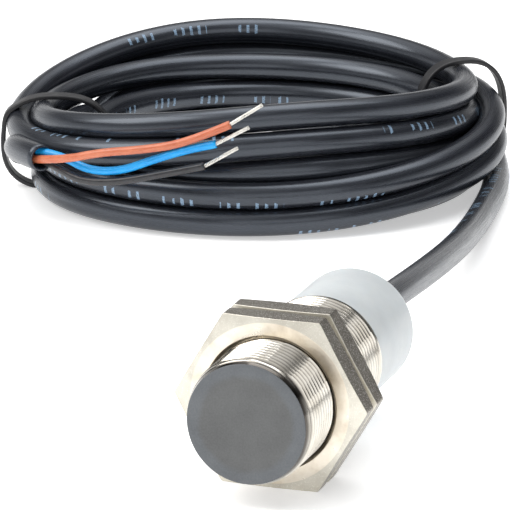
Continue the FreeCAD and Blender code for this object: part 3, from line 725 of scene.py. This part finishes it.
# A cut end's rim and hollow, as (rings back from the end, share of the radius).
CABLE_HOLLOW = [(0, 0.985), (0, 0.80), (1, 0.78), (2, 0.76)]
WIRE_HOLLOW = [(0, 0.97), (0, 0.62), (1, 0.60)]


def make_cable(jacket):
    """The whole jacket on one line, with a hollow cut end. Returns it and its centre line."""
    points = even_points(spline_points(LEAD_ROUTE + coil_route() + TAIL_ROUTE, "cable_line"), CABLE_STEP)
    last = len(points) - 1
    rings = [(0, CABLE_RADIUS * CABLE_START)] + [(index, CABLE_RADIUS) for index in range(last)]
    rings += [(last - back, CABLE_RADIUS * share) for back, share in CABLE_HOLLOW]
    cable = ring_sweep("cable", points, rings, CABLE_SIDES)
    cable.data.materials.append(jacket)
    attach(cable, HOUSING)
    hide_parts("cable_lead", "cable_coil", "cable_tail")
    return cable, points


def make_wire(color, skin, tinned):
    """One insulated wire with a hollow cut end, and the bare strands that come out of it."""
    points = even_points(spline_points(WIRE_ROUTES[color], "wire_line_" + color), WIRE_STEP)
    last = len(points) - 1
    rings = [(index, WIRE_RADIUS) for index in range(last)]
    rings += [(last - back, WIRE_RADIUS * share) for back, share in WIRE_HOLLOW]
    wire = ring_sweep("insulation_" + color, points, rings, WIRE_SIDES)
    wire.data.materials.append(skin)
    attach(wire, HOUSING)
    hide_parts("wire_" + color)

    strands = make_strands("bare_strands_" + color, points[-3], points[-1], np.array(STRAND_ENDS[color]))
    strands.data.materials.append(tinned)
    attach(strands, HOUSING)
    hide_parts("strands_" + color)


def make_strands(name, inside, mouth, end):
    """Fine tinned strands twisted round one straight one, with slightly uneven ends."""
    line = even_points(np.array([inside, mouth, end]), STRAND_STEP)
    _, side, up = frames_along(line)
    travelled = travel_along(line)
    vertices, faces = [], []
    for number in range(STRANDS_ROUND + 1):
        off_middle = 0.0 if number == 0 else STRAND_SPREAD * STRAND_RADIUS
        phase = 2 * math.pi * number / STRANDS_ROUND + 2 * math.pi * travelled / STRAND_LAY
        path = line + off_middle * (side * np.cos(phase)[:, None] + up * np.sin(phase)[:, None])
        path = path[:len(path) - (number * 2) % 3]
        _, across, over = frames_along(path)
        base = len(vertices)
        for index, point in enumerate(path):
            vertices += circle_at(point, across[index], over[index], STRAND_RADIUS, STRAND_SIDES)
        faces += ring_faces(len(path), STRAND_SIDES, first=base)
        faces.append(tuple(base + k for k in reversed(range(STRAND_SIDES))))
        top = base + (len(path) - 1) * STRAND_SIDES
        faces.append(tuple(top + k for k in range(STRAND_SIDES)))
    return add_mesh(name, vertices, faces)


FAR_SIDE = 25.0  # a crossing further out is the other side


def bundle_at(points, angle):
    """Where the cable's line crosses the upright half plane at an angle of the oval: (outwards, up)."""
    origin, outward = oval(angle)
    along = np.array([-outward[1], outward[0]])
    rel = points[:, :2] - origin
    ahead, out = rel @ along, rel @ outward
    found = []
    for index in np.nonzero((ahead[:-1] <= 0) != (ahead[1:] <= 0))[0]:
        if abs(out[index]) > FAR_SIDE:
            continue
        part = ahead[index] / (ahead[index] - ahead[index + 1])
        found.append((out[index] * (1 - part) + out[index + 1] * part,
                      points[index, 2] * (1 - part) + points[index + 1, 2] * part))
    return origin, outward, np.array(found)


TIE_THICK, TIE_WIDTH, TIE_SLACK = 0.7, 2.4, 0.25
TIE_SQUARENESS = 2.6  # 2 would make the loop an ellipse
TIE_POINTS, TIE_SMOOTHINGS, TIE_CLEAR, TIE_OFF_FLOOR, TIE_EDGE = 96, 4, 0.1, 0.02, 0.12
TIE_SECTION = [(0.0, -0.5), (0.0, 0.5), (0.75, 0.5), (1.0, 0.42), (1.0, -0.42), (0.75, -0.5)]


def tie_loop(centres):
    """A rounded loop (outwards, up) that just holds circles of the cable's size at centres."""
    middle = (centres.max(axis=0) + centres.min(axis=0)) / 2
    half = (centres.max(axis=0) - centres.min(axis=0)) / 2 + CABLE_RADIUS + TIE_SLACK
    turns = np.linspace(0, 2 * math.pi, TIE_POINTS, endpoint=False)
    cosine, sine = np.cos(turns), np.sin(turns)
    loop = np.stack([half[0] * np.sign(cosine) * np.abs(cosine) ** (2 / TIE_SQUARENESS),
                     half[1] * np.sign(sine) * np.abs(sine) ** (2 / TIE_SQUARENESS)], axis=1)
    loop = even_loop(loop)
    for centre in centres - middle:
        away = loop - centre
        distance = np.linalg.norm(away, axis=1)
        push = np.clip(CABLE_RADIUS + TIE_CLEAR - distance, 0, None)
        loop += away / distance[:, None] * push[:, None]
    for _ in range(TIE_SMOOTHINGS):
        loop = 0.25 * np.roll(loop, 1, axis=0) + 0.5 * loop + 0.25 * np.roll(loop, -1, axis=0)
    return loop + middle


def even_loop(loop):
    """The same closed loop with its points evenly spaced."""
    closed = np.vstack([loop, loop[:1]])
    travelled = travel_along(closed)
    at = np.linspace(0, travelled[-1], len(loop), endpoint=False)
    return np.stack([np.interp(at, travelled, closed[:, axis]) for axis in range(2)], axis=1)


def make_tie(node, angle, points, nylon):
    """A strap round the turns where they are bundled."""
    origin, outward, centres = bundle_at(points, angle)
    loop = tie_loop(centres)
    loop[:, 1] = np.maximum(loop[:, 1], TIE_OFF_FLOOR)
    heading = np.array([outward[0], outward[1], 0.0])
    across = np.array([-outward[1], outward[0], 0.0])
    upright = np.array([0.0, 0.0, 1.0])
    base = np.array([origin[0], origin[1], 0.0])
    tangent = np.roll(loop, -1, axis=0) - np.roll(loop, 1, axis=0)
    normal = np.stack([tangent[:, 1], -tangent[:, 0]], axis=1)
    normal /= np.linalg.norm(normal, axis=1)[:, None]
    vertices = []
    for index in range(TIE_POINTS):
        for thick, wide in TIE_SECTION:
            point = loop[index] + normal[index] * thick * TIE_THICK
            point[1] = max(point[1], 0.0)
            vertices.append(base + heading * point[0] + upright * point[1] + across * wide * TIE_WIDTH)
    strap = add_mesh(node + "_strap", vertices, ring_faces(TIE_POINTS, len(TIE_SECTION), closed=True))
    tidy_normals(strap)
    soften_edges(strap, TIE_EDGE, 30)
    strap.data.materials.append(nylon)
    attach(strap, HOUSING)
    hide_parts(node)
    return strap


# ---- The sensor's own pieces ----
THREAD_PITCH, THREAD_DEPTH = 1.0, 0.56
RIM_BORE, RIM_DEPTH, BARREL_BORE, RIM_CHAMFER = 8.4, 0.8, 7.75, 0.35
RIM_EDGE, RIM_SET_BACK, TAPER_ENDS = 8.44, 0.12, 1.9  # the front end tapers to the thread's root
THREAD_FIRST, THREAD_FADE, THREAD_STOP = 0.45, 0.4, 0.8  # start, run-in, and end short of the barrel's
THREAD_CREST, THREAD_FLANK = 0.06, 0.80  # shares of half a pitch
PLAIN_FROM = 0.1  # the plain end starts this far past the thread
SAMPLES_PER_PITCH, THREAD_SIDES = 14, 180


def thread_height(phase):
    """Depth share of a 60 degree thread at a phase of its pitch: 0 on the crest, 1 in the root."""
    distance = abs(phase - 0.5) * 2
    return min(1.0, max(0.0, (1 - distance - THREAD_CREST) / THREAD_FLANK))


def make_barrel(material):
    """The barrel with its real helical thread, bored through, on one closed mesh."""
    length = BARREL_HIGH[1] - BARREL_LOW[1]
    first, last = THREAD_FIRST, length - THREAD_STOP
    steps = int((last - first) / THREAD_PITCH * SAMPLES_PER_PITCH)
    rings = [[(RIM_EDGE, RIM_SET_BACK)] * THREAD_SIDES]
    for row in range(steps + 1):
        depth = first + (last - first) * row / steps
        fade = max(0.0, min(1.0, (depth - first) / THREAD_FADE, (last - depth) / THREAD_FADE))
        taper = min(1.0, (depth - RIM_SET_BACK) / (TAPER_ENDS - RIM_SET_BACK))
        crest = RIM_EDGE + (THREAD_RADIUS - RIM_EDGE) * taper
        ring = []
        for k in range(THREAD_SIDES):
            phase = (depth / THREAD_PITCH - k / THREAD_SIDES) % 1.0
            root = THREAD_RADIUS - THREAD_DEPTH * thread_height(phase) * fade
            ring.append((min(crest, root), depth))
        rings.append(ring)
    closing = [(THREAD_RADIUS, last + PLAIN_FROM), (THREAD_RADIUS, length - RIM_CHAMFER),
               (THREAD_RADIUS - RIM_CHAMFER, length), (BARREL_BORE, length), (BARREL_BORE, RIM_DEPTH),
               (RIM_BORE, RIM_DEPTH), (RIM_BORE, RIM_SET_BACK)]
    rings += [[place] * THREAD_SIDES for place in closing]
    vertices = []
    for ring in rings:
        for k, (radius, depth) in enumerate(ring):
            vertices.append(axis_point(2 * math.pi * k / THREAD_SIDES, radius, FACE_Y + depth))
    barrel = add_mesh("barrel_shell", vertices, ring_faces(len(rings), THREAD_SIDES, closed=True))
    tidy_normals(barrel)
    sharp_by_angle(barrel, 35)
    barrel.data.materials.append(material)
    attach(barrel, HOUSING)
    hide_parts("threaded_barrel")


def sharp_by_angle(item, angle):
    """Smooth shading that stays sharp over edges steeper than an angle."""
    work = bmesh.new()
    work.from_mesh(item.data)
    limit = math.radians(angle)
    for edge in work.edges:
        if len(edge.link_faces) == 2 and edge.calc_face_angle(0.0) > limit:
            edge.smooth = False
    work.to_mesh(item.data)
    work.free()


NUT_FLATS, NUT_BORE, NUT_SINK, NUT_CROWN, CROWN_SLOPE, CORNER_ROUND = 24.0, 9.04, 0.5, 11.35, 10.0, 0.35
BACK_CROWN, BACK_SLOPE = 10.9, 15.0  # the nuts' backs are crowned more
CORNER_LOSS = 0.16  # share of its radius a round corner takes off
NUT_SIDES, NUT_EDGE = 360, 0.10
BLEND_IN, BLEND_OUT, BLEND_DROP = 0.1, 0.05, 0.02  # soft turn from the flat face into the crown


def make_nut(node, body, material):
    """A thin hexagon nut: flat faces, chamfered crown, countersunk bore and slightly rounded corners."""
    low, high = span(node)
    front, rear = low[1], high[1]
    slope, back_slope = math.tan(math.radians(CROWN_SLOPE)), math.tan(math.radians(BACK_SLOPE))
    profile_rows = []
    for k in range(NUT_SIDES):
        off_corner = (math.degrees(2 * math.pi * k / NUT_SIDES) % 60.0) - 30.0
        flat_reach = NUT_FLATS / 2 / math.cos(math.radians(off_corner))
        corner_reach = NUT_FLATS / math.sqrt(3) - CORNER_ROUND * CORNER_LOSS
        reach = min(flat_reach, corner_reach)
        drop, back_drop = (reach - NUT_CROWN) * slope, (reach - BACK_CROWN) * back_slope
        profile_rows.append([
            (NUT_BORE, front + NUT_SINK), (NUT_BORE + NUT_SINK, front), (NUT_CROWN - BLEND_IN, front),
            (NUT_CROWN + BLEND_OUT, front + BLEND_DROP), ((NUT_CROWN + reach) / 2, front + drop / 2),
            (reach, front + drop), (reach, rear - back_drop),
            ((BACK_CROWN + reach) / 2, rear - back_drop / 2), (BACK_CROWN + BLEND_OUT, rear - BLEND_DROP),
            (BACK_CROWN - BLEND_IN, rear), (NUT_BORE + NUT_SINK, rear), (NUT_BORE, rear - NUT_SINK),
        ])
    vertices = []
    for k, profile in enumerate(profile_rows):
        for radius, y in profile:
            vertices.append(axis_point(2 * math.pi * k / NUT_SIDES, radius, y))
    nut = add_mesh(node + "_shape", vertices, ring_faces(NUT_SIDES, len(profile_rows[0]), closed=True))
    tidy_normals(nut)
    soften_edges(nut, NUT_EDGE, 14)
    nut.data.materials.append(material)
    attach(nut, body)
    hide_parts(node)


SUNK_RADIUS, FLUSH_RADIUS, FACE_SUNK = 6.6, 7.1, 0.03  # the face's middle is sunk by a hair
CUP_OUTER, CUP_INNER, CUP_FLOOR = 7.7, 7.1, 1.2
LIP, LIP_ROUND = 0.06, 0.08


def make_face(material):
    """The sensing face: a cup with a small lip and edge radius, its middle sunk by a hair."""
    low, high = span("sensing_face")
    depth = high[1] - low[1]
    radius = (high[0] - low[0]) / 2
    lip = radius + LIP
    profile = [(0.0, FACE_SUNK), (SUNK_RADIUS, FACE_SUNK), (FLUSH_RADIUS, 0.0), (lip, 0.0),
               (lip, RIM_SET_BACK), (radius, RIM_SET_BACK), (radius, RIM_DEPTH), (CUP_OUTER, RIM_DEPTH),
               (CUP_OUTER, depth), (CUP_INNER, depth), (CUP_INNER, CUP_FLOOR), (0.0, CUP_FLOOR)]
    profile = round_corners(profile, {3: LIP_ROUND}, 3)
    face = turned_mesh("face_cap", profile, 180)
    sharp_by_angle(face, 30)
    face.data.materials.append(material)
    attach(face, HOUSING)
    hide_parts("sensing_face")


CAP_BORE, CAP_SPIGOT, CABLE_HOLE = 6.9, 7.7, 3.4
CAP_OUT, CAP_END = 16.7, 5.4  # length behind the barrel; its end's thickness
CAP_ROUNDS = {3: 0.25, 4: 2.3, 5: 0.3}  # at the shoulder, the end and the cable hole


def make_end_cap(material):
    """The end cap: a spigot in the barrel, and a rounded cup behind it with the cable's hole."""
    low, high = span("end_cap")
    front, back = low[1] - FACE_Y, high[1] - FACE_Y
    radius = (high[0] - low[0]) / 2
    shoulder = back - CAP_OUT
    profile = [(CAP_BORE, front), (CAP_SPIGOT, front), (CAP_SPIGOT, shoulder), (radius, shoulder),
               (radius, back), (CABLE_HOLE, back), (CABLE_HOLE, back - CAP_END), (CAP_BORE, back - CAP_END)]
    profile = round_corners(profile, CAP_ROUNDS, 10)
    cap = turned_mesh("end_cap_shell", profile, 160)
    sharp_by_angle(cap, 30)
    cap.data.materials.append(material)
    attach(cap, HOUSING)
    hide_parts("end_cap")


def finish_inner_nodes(materials):
    """Give every CAD node that stays its own material."""
    for node, material in materials.items():
        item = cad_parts[node]
        item.data.materials.clear()
        item.data.materials.append(material)


# ---- Floor, light and world ----
def make_floor():
    """A wide pale floor that glows a little, so that shadows on it stay light."""
    size = 3000.0
    floor = add_mesh("floor", [(-size, -size, 0), (size, -size, 0), (size, size, 0), (-size, size, 0)],
                     [(0, 1, 2, 3)], smooth=False)
    surface = Surface("pale_floor", (0.93, 0.93, 0.93), 0.7)
    tone = surface.ramp(surface.noise(6, 2), [(0.3, (0.925, 0.925, 0.925)), (0.7, (0.94, 0.94, 0.94))])
    surface.feed("Base Color", tone)
    surface.set("Emission Color", (1.0, 1.0, 1.0, 1.0))
    surface.set("Emission Strength", 0.45)
    floor.data.materials.append(surface.material)


def add_light(name, place, aim, size, watts, color=(1, 1, 1)):
    """A rectangular light aimed at a point, hidden from the camera."""
    data = bpy.data.lights.new(name, "AREA")
    data.shape = "RECTANGLE"
    data.size, data.size_y = size
    data.energy = watts
    data.color = color
    light = bpy.data.objects.new(name, data)
    light.location = place
    light.rotation_mode = "QUATERNION"
    light.rotation_quaternion = (Vector(aim) - Vector(place)).to_track_quat("-Z", "Y")
    light.visible_camera = False
    bpy.context.scene.collection.objects.link(light)


# Brightness of the studio against the height of the direction (its sine), and against how far to
# the right it points.
STUDIO_HEIGHTS = [
    (-1.0, 0.9), (0.0, 1.0), (0.12, 0.90), (0.28, 0.60), (0.38, 0.06), (0.52, 0.12), (0.72, 0.9), (1.0, 1.1),
]
STUDIO_SIDES = [(-1.0, 1.2), (-0.2, 1.1), (0.15, 0.8), (0.30, 0.55), (0.40, 0.16), (0.55, 0.25), (1.0, 0.8)]


def grey_ramp(tree, source, stops):
    """A grey level looked up from stops along a value from -1 to 1."""
    scale = tree.nodes.new("ShaderNodeMapRange")
    scale.inputs["From Min"].default_value = -1.0
    tree.links.new(source, scale.inputs["Value"])
    ramp = tree.nodes.new("ShaderNodeValToRGB")
    while len(ramp.color_ramp.elements) < len(stops):
        ramp.color_ramp.elements.new(0.5)
    for element, (place, value) in zip(ramp.color_ramp.elements, stops):
        element.position = (place + 1) / 2
        element.color = (value, value, value, 1)
    tree.links.new(scale.outputs["Result"], ramp.inputs["Fac"])
    return ramp.outputs["Color"]


def make_studio():
    """The surroundings that the metal mirrors, and three lights."""
    world = bpy.data.worlds.new("studio")
    bpy.context.scene.world = world
    world.use_nodes = True
    tree = world.node_tree
    where = tree.nodes.new("ShaderNodeTexCoord")
    parts = tree.nodes.new("ShaderNodeSeparateXYZ")
    tree.links.new(where.outputs["Generated"], parts.inputs["Vector"])
    both = tree.nodes.new("ShaderNodeMath")
    both.operation = "MULTIPLY"
    tree.links.new(grey_ramp(tree, parts.outputs["Z"], STUDIO_HEIGHTS), both.inputs[0])
    tree.links.new(grey_ramp(tree, parts.outputs["X"], STUDIO_SIDES), both.inputs[1])
    tree.links.new(both.outputs["Value"], tree.nodes["Background"].inputs["Color"])
    aim = (-0.03, 0.05, 0.01)
    add_light("key_light", (-0.50, -0.20, 0.70), aim, (0.60, 0.60), 4.4, (1.0, 0.985, 0.96))
    add_light("top_light", (0.05, 0.30, 0.85), aim, (0.80, 0.50), 3.4, (0.97, 0.985, 1.0))
    add_light("front_light", (0.45, -0.75, 0.35), aim, (0.8, 0.6), 2.0)


# ---- Making it all ----
bpy.context.scene.view_settings.view_transform = "Standard"
make_camera()
tinned = metal("tinned_copper", (0.80, 0.78, 0.73), 0.28)
nylon = moulding("tie_nylon", (0.009, 0.009, 0.011), 0.42)
cable, cable_points = make_cable(cable_jacket())
wire_skins = {
    "brown": wire_skin("wire_brown", (0.48, 0.125, 0.06), (0.60, 0.185, 0.095)),
    "blue": wire_skin("wire_blue", (0.004, 0.25, 0.62), (0.008, 0.38, 0.86)),
    "black": wire_skin("wire_black", (0.016, 0.016, 0.018), (0.030, 0.030, 0.034)),
}
ties = [
    make_tie("tie_right", TIE_RIGHT_AT, cable_points, nylon),
    make_tie("tie_left", TIE_LEFT_AT, cable_points, nylon),
]
for wire_color, skin in wire_skins.items():
    make_wire(wire_color, skin, tinned)

nuts = nut_nickel()
make_barrel(bright_nickel())
make_nut("front_nut", FRONT_NUT, nuts)
make_nut("rear_nut", REAR_NUT, nuts)
make_face(face_plastic())
make_end_cap(milky_plastic())

epoxy = moulding("chip_epoxy", (0.030, 0.030, 0.034), 0.45)
finish_inner_nodes({
    "ferrite_core": moulding("ferrite", (0.07, 0.07, 0.075), 0.6),
    "coil_bobbin": moulding("bobbin_plastic", (0.80, 0.76, 0.62), 0.45),
    "copper_winding": winding_copper(),
    "core_carrier": moulding("carrier_plastic", (0.05, 0.05, 0.055), 0.5),
    "circuit_board": board_green(),
    "oscillator_chip": epoxy, "output_transistor": epoxy,
    "voltage_regulator": epoxy, "protection_diode": epoxy,
    "capacitors": moulding("capacitor_ceramic", (0.50, 0.36, 0.22), 0.5),
    "resistors": moulding("resistor_body", (0.05, 0.05, 0.06), 0.4),
    "indicator_leds": moulding("led_lens", (0.92, 0.66, 0.08), 0.2),
    "coil_pins": tinned, "solder_joints": metal("solder", (0.72, 0.72, 0.70), 0.3),
    "cable_clamp": metal("clamp_metal", (0.70, 0.68, 0.62), 0.35),
    "cable_seal": moulding("seal_rubber", (0.03, 0.03, 0.033), 0.6),
    "cable_inner_end": cable_jacket("inner_jacket", printed=False),
    "inner_wire_brown": wire_skins["brown"], "inner_wire_black": wire_skins["black"],
    "inner_wire_blue": wire_skins["blue"],
    "potting_resin": moulding("potting_resin", (0.26, 0.24, 0.20), 0.35),
})
make_floor()
make_studio()
